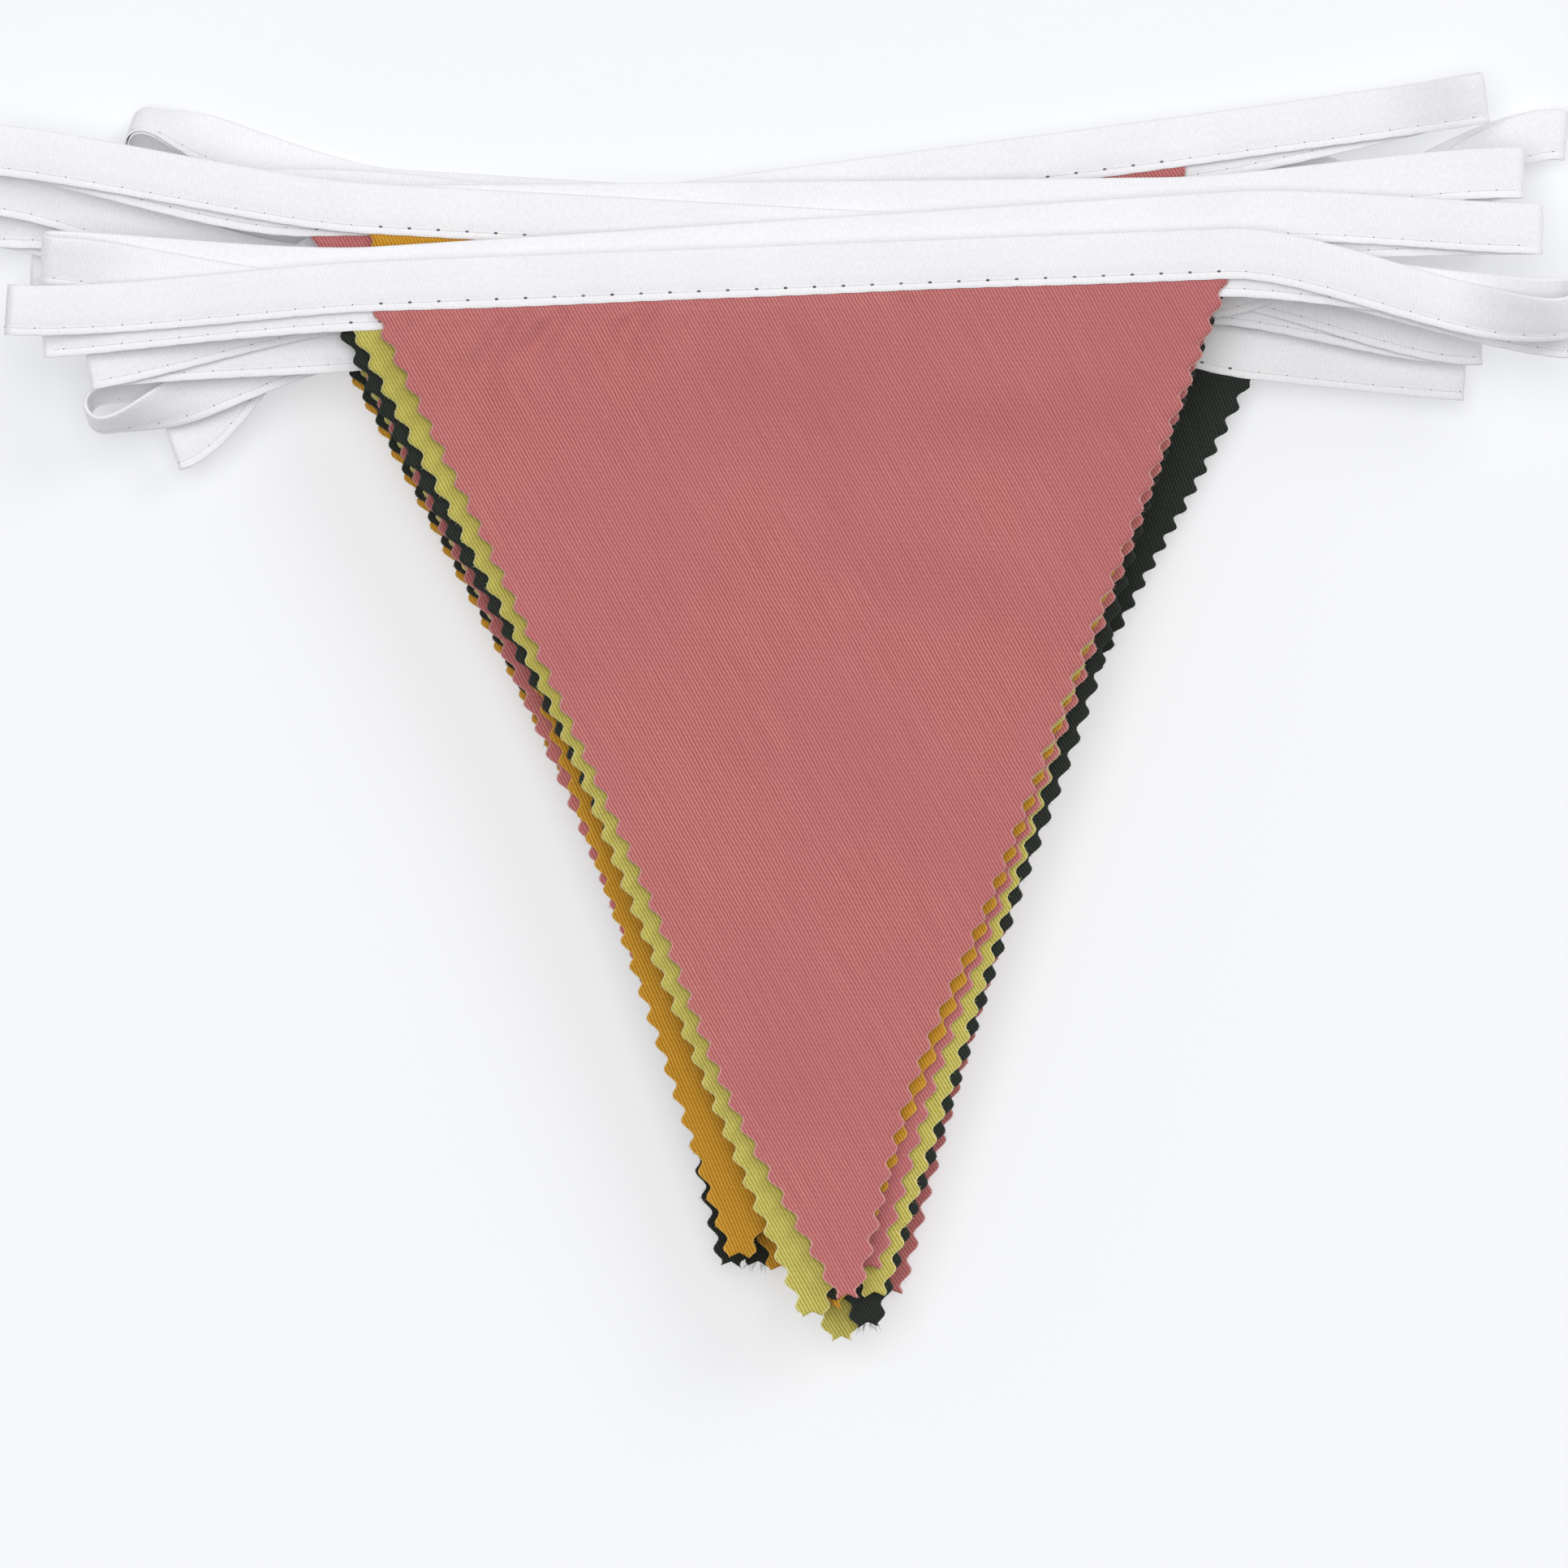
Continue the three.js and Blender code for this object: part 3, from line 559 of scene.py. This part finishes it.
def makeFray(index):
    rng = np.random.default_rng(fray["seed"] + index)
    x, y, z, _ = pennantGrid(index)
    rows = x.shape[0]
    start = fray["firstRow"]
    perRow = (fray["topPerTooth"] if index == 0 else fray["perTooth"]) / pennant["rowsPerTooth"]
    count = int((rows - start) * perRow)
    points, faces = [], []
    thirds = (0.0, 2.094, 4.189)

    def addFibre(root, heading, reach, width):
        heading = unit(heading)
        sideways = unit(np.cross(heading, upward))
        lean = rng.normal(0, 0.35, 2)
        middle = root + heading * reach * 0.55 + sideways * lean[0] * reach * 0.3
        lifted = upward * np.clip(lean[1], -0.5, 0.5) * 0.4
        tip = middle + (heading + sideways * lean[0] + lifted) * reach * 0.45
        base = len(points)
        for centre, wide in ((root, width), (middle, width * 0.75)):
            for turn in thirds:
                points.append(centre + (sideways * math.cos(turn) + upward * math.sin(turn)) * wide)
        points.append(tip)
        for k in range(3):
            n = (k + 1) % 3
            faces.append((base + k, base + n, base + 3 + n, base + 3 + k))
            faces.append((base + 3 + k, base + 3 + n, base + 6))
        faces.append((base + 2, base + 1, base))

    for side, column in ((-1, 0), (1, -1)):
        at = np.sort(rng.uniform(start, rows - 1.01, count))
        for place in at:
            low = int(place)
            t = place - low
            root = np.array([np.interp(t, (0, 1), a[low:low + 2, column]) for a in (x, y, z)])
            root[0] -= side * fray["rootIn"]
            longer = fray["longest"] - fray["shortest"]
            reach = fray["shortest"] + longer * rng.random() ** fray["mostlyShort"]
            heading = np.array([side, rng.normal(0, 0.45) - 0.35, rng.normal(0, 0.12)])
            addFibre(root, heading, reach, fray["width"] * rng.uniform(0.7, 1.3))
    if index in fray["looseTips"]:
        for _ in range(fray["tipStrands"]):
            share = rng.uniform(-1, 1)
            across = x[-1].mean() + share * pennant["tip"] / 2
            root = np.array([across, -pennant["height"] + fray["tipRootIn"], z[-1, 0]])
            heading = np.array([share * 0.5 + rng.normal(0, 0.3), -1, 0])
            addFibre(root, heading, rng.uniform(0.8, fray["tipLongest"]), fray["width"] * 1.3)
    local = np.array(points)
    placed = pennantPlace(index, local[:, 0], local[:, 1], local[:, 2])
    piece = addMesh("pennant_%02d_fray" % (index + 1), placed, faces, None, fibres[pile[index][0]])
    return piece


pennants = [makePennant(i) for i in range(len(pile))]
frays = [makeFray(i) for i in range(len(pile))]
print("pennants made,", sum(len(p.data.polygons) for p in pennants), "faces, fray",
      sum(len(p.data.polygons) for p in frays))


# The tape: one strip, folded double lengthwise, running back and forth over the pile
tape = {
    "width": 10, "outer": 0.5, "cloth": 0.25,
    "seam": 1.55,  # stitch line above the lower edge
    "stitch": 5.7,
    "perStitch": 3,  # stations to a stitch
    "groove": 0.20, "puff": 0.10,
    "legSteps": 40, "foldSteps": 14, "runSteps": 60,
    "leave": 0.8, "arrive": 0.75,  # how long a leg keeps its heading at each end
    "crowd": 1.5,  # its stations crowd toward the fold
    "clear": 0.35,  # least distance from a bend
    "twistStart": 0.62,
}

# The ends of its runs in order: x, y, slope, opening, rise, tilt; the first is a cut end, then
# the folds by turns on the right and on the left
tapeEnds = [
    (-152.3, 78.4, -4, 0, 3, 0), (153.6, 78.5, 6, 7, 3.8, 36), (-144.3, 74, 4, 1.3, 0, 0),
    (155.2, 74, -4, 1.3, -2.4, 0), (-143.2, 88.8, -3, 4, 1.3, 20), (149.1, 94.7, 0, 2.6, 0.6, 0),
    (-135.5, 68, 9, 1.3, 2.2, 0), (138.7, 80, 3, 1.3, 0, 0), (-155.5, 110.4, -5, 3.2, 0.9, 0),
    (145.6, 105.9, -1, 2.6, 0.6, 0), (-133.8, 59, 10, 6.2, 0.8, 74), (138.1, 73, 2, 1.3, 0, 0),
    (-119.4, 52.2, 18, 1.3, -2.2, 0), (138.4, 120.7, 8, 2.4, 4, 10), (-155.5, 102.5, -4, 3, 4, 0),
    (135, 66.2, -3, 1.3, 0, 0), (-155.5, 96.5, -2, 1.3, 2, 0), (141.3, 96, 2, 1.3, 0, 0),
    (-147.5, 87.5, -4, 1.3, 0.3, 0), (154.7, 113.9, -4, 2.4, 3, 0), (-125.5, 113.9, -14, 6.4, 6.1, -58),
]
earlyTwist = {6: 0.3, 10: 0.5, 12: 0.3}  # where along its legs a fold begins to tilt, if not at twistStart
bottomTail = {"x": -114.6, "y": 104.4, "turn": -10, "tilt": -22}


def tapeLeg(start, startWay, startTilt, fold, side):
    stations = []
    end = fold["middle"] + fold["toNext"] * fold["half"] * side
    endWay, endTilt, twist = fold["out"], fold["tilt"], fold["twist"]
    span = math.hypot(end[0] - start[0], end[1] - start[1])
    leave, arrive = startWay * span * tape["leave"], endWay * span * tape["arrive"]
    for i in range(1, tape["legSteps"] + 1):
        u = 1 - (1 - i / tape["legSteps"]) ** tape["crowd"]
        point = (start * (2 * u ** 3 - 3 * u ** 2 + 1) + leave * (u ** 3 - 2 * u ** 2 + u)
                 + end * (3 * u ** 2 - 2 * u ** 3) + arrive * (u ** 3 - u ** 2))
        way = (start * (6 * u ** 2 - 6 * u) + leave * (3 * u ** 2 - 4 * u + 1)
               + end * (6 * u - 6 * u ** 2) + arrive * (3 * u ** 2 - 2 * u))
        way[2] = 0
        way = unit(way)
        level = np.array([-way[1], way[0], 0.0])
        level *= np.sign(level[1])
        late = smooth((u - twist) / (1 - twist))
        tilt = math.radians(startTilt + (endTilt - startTilt) * late)
        point[2] = start[2] + (end[2] - start[2]) * late
        stations.append((point, way, level * math.cos(tilt) + upward * math.sin(tilt), "leg"))
    return stations


def foldFrame(index):
    x, y, turn, opening, rise, tilt = tapeEnds[index]
    side = 1 if index % 2 else -1
    angle = math.radians(tilt)
    level = turnedAcross(turn)
    height = (layerHeight(max(index - 1, 0)) + layerHeight(min(index, len(pile) - 1))) / 2 + rise
    return {
        "middle": np.array([x, y, height]), "out": turned(turn) * side, "half": opening / 2, "tilt": tilt,
        "twist": earlyTwist.get(index, tape["twistStart"]),
        "across": level * math.cos(angle) + upward * math.sin(angle),
        "toNext": level * math.sin(angle) - upward * math.cos(angle),
    }


def foldStations(fold):
    stations = []
    for i in range(1, tape["foldSteps"]):
        angle = math.pi * i / tape["foldSteps"]
        bow = fold["out"] * math.sin(angle) - fold["toNext"] * math.cos(angle)
        point = fold["middle"] + bow * fold["half"]
        way = fold["toNext"] * math.sin(angle) + fold["out"] * math.cos(angle)
        stations.append((point, way, fold["across"], "fold"))
    return stations


def turnedBack(stations):
    return [(point, -way, across, kind) for point, way, across, kind in stations[::-1]]


def runStations(index):
    _, x, y, turn, sag = pile[index][:5]
    way, across = turned(turn), turnedAcross(turn)
    side = 1 if index % 2 == 0 else -1
    middle = np.array([x, y, layerHeight(index)]) + across * tape["width"] / 2
    sewn = []
    for i in range(tape["runSteps"] + 1):
        at = side * pennant["width"] * (i / tape["runSteps"] - 0.5)
        sewn.append((middle + way * at - across * sagAt(sag, at, 0.0), way * side, across, "sewn"))
    before, after = foldFrame(index), foldFrame(index + 1)
    inLeg = tapeLeg(sewn[0][0], -way * side, 0, before, 1)
    outLeg = tapeLeg(sewn[-1][0], way * side, 0, after, -1)
    return turnedBack(inLeg) + sewn + outLeg


def tapeStations():
    stations = []
    for i in range(len(pile)):
        stations += runStations(i) + foldStations(foldFrame(i + 1))
    last = foldFrame(len(pile))
    angle = math.radians(bottomTail["tilt"])
    height = lowestLayer + abs(math.sin(angle)) * tape["width"] / 2
    cut = np.array([bottomTail["x"], bottomTail["y"], height])
    way = turned(bottomTail["turn"])
    tail = tapeLeg(cut, -way, bottomTail["tilt"], last, 1)
    level = turnedAcross(bottomTail["turn"])
    across = level * math.cos(angle) + upward * math.sin(angle)
    return stations + turnedBack(tail) + [(cut, way, across, "leg")]


rough = tapeStations()
roughPoint = np.array([s[0] for s in rough]) + pileShift
roughWay = np.array([s[1] for s in rough])
roughAcross = np.array([s[2] for s in rough])
roughBent = np.array([s[3] == "fold" for s in rough])
roughSewn = np.array([s[3] == "sewn" for s in rough], dtype=float)
roughRun = np.concatenate([[0], np.cumsum(np.linalg.norm(np.diff(roughPoint, axis=0), axis=1))])
tapeLength = float(roughRun[-1])


def tapeAt(run):
    point = np.stack([np.interp(run, roughRun, roughPoint[:, k]) for k in range(3)], axis=-1)
    way = np.stack([np.interp(run, roughRun, roughWay[:, k]) for k in range(3)], axis=-1)
    across = np.stack([np.interp(run, roughRun, roughAcross[:, k]) for k in range(3)], axis=-1)
    way /= np.linalg.norm(way, axis=-1, keepdims=True)
    across /= np.linalg.norm(across, axis=-1, keepdims=True)
    normal = np.cross(way, across)
    return point, way, across, normal / np.linalg.norm(normal, axis=-1, keepdims=True)


def tapeSection():
    outer, cloth, half = tape["outer"], tape["cloth"], tape["width"] / 2
    seam = -half + tape["seam"]
    places = [-half, -half + 0.12, seam - 0.45, seam, seam + 0.45, -0.6, 2.4, half - 0.5]
    puffs = [0.0, 0.5, 0.5, 0.0, 0.35, 1.0, 0.9, 0.3]
    grooves = [0.0, 0.0, 0.3, 1.0, 0.3, 0, 0, 0]
    face = [(a, outer - tape["puff"] * (1 - p), g) for a, p, g in zip(places, puffs, grooves)]
    face[0] = (places[0], outer - cloth * 0.55, 0.0)
    bend = [(half - 0.14, 0.30, 0), (half, 0.0, 0), (half - 0.14, -0.30, 0)]
    back = [(a, -z, -g) for a, z, g in face[::-1]]
    inner = outer - cloth
    lining = [(a, inner - 0.06, 0) for a in (-half, seam, 2.4, half - 0.7)]  # each face's inner side
    inside = [(a, -z, 0) for a, z, _ in lining] + [(half - 0.35, 0.0, 0)] + lining[::-1]
    return np.array(face + bend + back + inside)


def makeTape():
    step = tape["stitch"] / tape["perStitch"]
    even = np.arange(0, tapeLength, step)
    bends = roughRun[roughBent]
    clear = np.array([np.min(np.abs(bends - r)) > tape["clear"] for r in even])
    run = np.sort(np.concatenate([even[clear], bends, [tapeLength]]))
    point, _, across, normal = tapeAt(run)
    section = tapeSection()
    count = len(section)
    beat = np.cos(2 * math.pi * run / tape["stitch"])
    nearHole = 0.5 + 0.5 * beat
    edgeWave = 0.05 * beat + 0.10 * np.sin(run / 23) + 0.06 * np.sin(run / 9.1)
    low = 1 - smooth((section[:, 0] + tape["width"] / 2) / 1.6)
    a = section[None, :, 0] + edgeWave[:, None] * low[None, :]
    sink = tape["groove"] * (0.45 + 0.55 * nearHole)
    z = section[None, :, 1] - sink[:, None] * section[None, :, 2]
    points = point[:, None, :] + across[:, None, :] * a[..., None] + normal[:, None, :] * z[..., None]
    around = np.concatenate([[0], np.cumsum(np.hypot(*np.diff(section[:, :2], axis=0).T))])
    flat = np.stack([np.repeat(run[:, None], count, 1), np.repeat(around[None, :], len(run), 0),
                     np.zeros((len(run), count))], axis=-1)
    grid = np.arange(len(run) * count).reshape(len(run), count)
    ring = np.roll(grid, -1, axis=1)
    quads = np.stack([grid[:-1], grid[1:], ring[1:], ring[:-1]], axis=-1).reshape(-1, 4)
    ends = [grid[0].tolist(), grid[-1][::-1].tolist()]
    piece = addMesh("tape_folded", points.reshape(-1, 3), quads.tolist() + ends, flat.reshape(-1, 3),
                    tapeCloth)
    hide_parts("tape")
    return piece


# Stitches along the tape's seam, on both faces, with the holes that the needle left, each a small sunk disc
# of painted shade
stitch = {
    "radius": 0.13, "sides": 4,
    "shape": ((0.035, -0.14), (0.12, -0.01), (0.35, 0.04), (0.65, 0.04), (0.88, -0.01), (0.965, -0.14)),
    "holeLong": 0.42, "holeWide": 0.26, "holeDeep": 0.05, "holeAbove": 0.11, "holeSides": 6,
    "holeShut": 0.42,  # away from the pennants the thread fills its holes
}


def makeStitches():
    seam = -tape["width"] / 2 + tape["seam"]
    surface = tape["outer"] - tape["puff"] - tape["groove"] * 0.7
    starts = np.arange(0, tapeLength - tape["stitch"], tape["stitch"])
    shares = np.array([s for s, _ in stitch["shape"]])
    lifts = np.array([h for _, h in stitch["shape"]])
    sides, rings = stitch["sides"], len(shares)
    turns = np.arange(sides) * 2 * math.pi / sides
    points, flat, faces = [], [], []
    for face in (1, -1):
        for begin in starts:
            run = begin + shares * tape["stitch"]
            point, _, across, normal = tapeAt(run)
            centre = point + across * seam + normal * ((surface + lifts) * face)[:, None]
            base = len(points) * rings * sides
            ring = (across[:, None, :] * np.cos(turns)[None, :, None]
                    + normal[:, None, :] * np.sin(turns)[None, :, None]) * stitch["radius"]
            points.append((centre[:, None, :] + ring).reshape(-1, 3))
            flat.append(np.stack([np.repeat(run, sides), np.tile(turns * stitch["radius"], rings),
                                  np.zeros(rings * sides)], axis=-1))
            for r in range(rings - 1):
                for k in range(sides):
                    n = (k + 1) % sides
                    a, b = base + r * sides, base + (r + 1) * sides
                    faces.append((a + n, a + k, b + k, b + n))
            faces.append(tuple(base + k for k in range(sides)))
            faces.append(tuple(base + (rings - 1) * sides + k for k in range(sides))[::-1])
    threads = addMesh("tape_stitches", np.concatenate(points), faces, np.concatenate(flat), threadSpun)
    return threads


def makeNeedleHoles():
    seam = -tape["width"] / 2 + tape["seam"]
    surface = tape["outer"] - tape["puff"] - tape["groove"] + stitch["holeAbove"]
    marks = np.arange(0, tapeLength - tape["stitch"], tape["stitch"])
    sides = stitch["holeSides"]
    turns = np.arange(sides) * 2 * math.pi / sides
    point, way, across, normal = tapeAt(marks)
    sewn = np.interp(marks, roughRun, roughSewn)
    points, faces = [], []
    for face in (1, -1):
        centre = point + across * seam + normal * surface * face
        for i in range(len(marks)):
            base = len(points)
            size = 1.0 if sewn[i] > 0.5 else stitch["holeShut"]
            for depth in (0.0, -stitch["holeDeep"]):
                for turn in turns:
                    along = way[i] * math.cos(turn) * stitch["holeLong"] * size
                    beside = across[i] * math.sin(turn) * stitch["holeWide"] * size
                    points.append(centre[i] + along + beside + normal[i] * depth * face)
            upper = [base + k for k in range(sides)]
            lower = [base + sides + k for k in range(sides)]
            loops = [upper, lower[::-1]]
            for k in range(sides):
                n = (k + 1) % sides
                loops.append([upper[k], lower[k], lower[n], upper[n]])
            faces += loops if face > 0 else [loop[::-1] for loop in loops]
    # Each hole is a sunk grey disc: painted shade inside the needle hole.
    holes = addMesh("tape_needle_hole_shade", points, faces, None, holeShade, soft=False)
    return holes


tapePiece = makeTape()
stitchPiece = makeStitches()
holePiece = makeNeedleHoles()
print("tape made,", round(tapeLength), "mm long,", len(tapePiece.data.polygons), "faces")
# Pale floor that glows a little, as a light table does, under soft studio light: a broad one overhead
# and a lower one from the upper right
studio = {
    "floorSide": 9000, "floorDrop": 0.02,
    "floor": "#c2c3c4", "floorCloud": "#bdbfc1",
    "glow": "#fdfdff", "floorGlow": 0.40,
    "sky": "#fcfdff", "world": 0.30,
    "lamps": (((0.75, 0.62), 38, 26, 0.75), ((-0.2, 0.3), 82, 50, 1.80)),  # from, height, spread, power
}


# Matte white paper, faintly cool, with clouds too soft to see as a pattern.
def floorMaterial(name):
    m = newMaterial(name)
    place = addNode(m, "ShaderNodeTexCoord").outputs["Object"]
    cloud = addNode(m, "ShaderNodeTexNoise", Vector=place, Scale=3.0, Detail=2.0)
    share = addNode(m, "ShaderNodeMapRange", Value=cloud.outputs[0], From_Min=0.3, From_Max=0.7, To_Max=0.25)
    colour = addNode(m, "ShaderNodeMix", {"data_type": "RGBA"}, i0=share.outputs[0],
                     i6=linear(studio["floor"]), i7=linear(studio["floorCloud"]))
    shader = addNode(m, "ShaderNodeBsdfPrincipled", Base_Color=colour.outputs[2], Roughness=0.95, IOR=1.45,
                     Specular_IOR_Level=0.1, Emission_Color=linear(studio["glow"]),
                     Emission_Strength=studio["floorGlow"])
    return closeMaterial(m, shader)


floorMesh = bpy.data.meshes.new("floor")
reach = studio["floorSide"] / 2 * mm
floorMesh.from_pydata([(-reach, -reach, 0), (reach, -reach, 0), (reach, reach, 0), (-reach, reach, 0)], [],
                      [(0, 1, 2, 3)])
floorMesh.materials.append(floorMaterial("mattePaperFloor"))
floor = bpy.data.objects.new("floor", floorMesh)
floor.location.z = -studio["floorDrop"] * mm
bpy.context.scene.collection.objects.link(floor)

world = bpy.data.worlds.new("studio")
world.use_nodes = True
world.node_tree.nodes["Background"].inputs["Color"].default_value = linear(studio["sky"])
world.node_tree.nodes["Background"].inputs["Strength"].default_value = studio["world"]
bpy.context.scene.world = world

for (fromX, fromY), high, spread, power in studio["lamps"]:
    lampData = bpy.data.lights.new("lamp", "SUN")
    lampData.angle = math.radians(spread)
    lampData.energy = power
    lamp = bpy.data.objects.new("lamp", lampData)
    lamp.rotation_euler = (math.radians(90 - high), 0, math.atan2(fromX, -fromY))
    bpy.context.scene.collection.objects.link(lamp)

bpy.context.scene.view_settings.view_transform = "Standard"
print("studio lit")
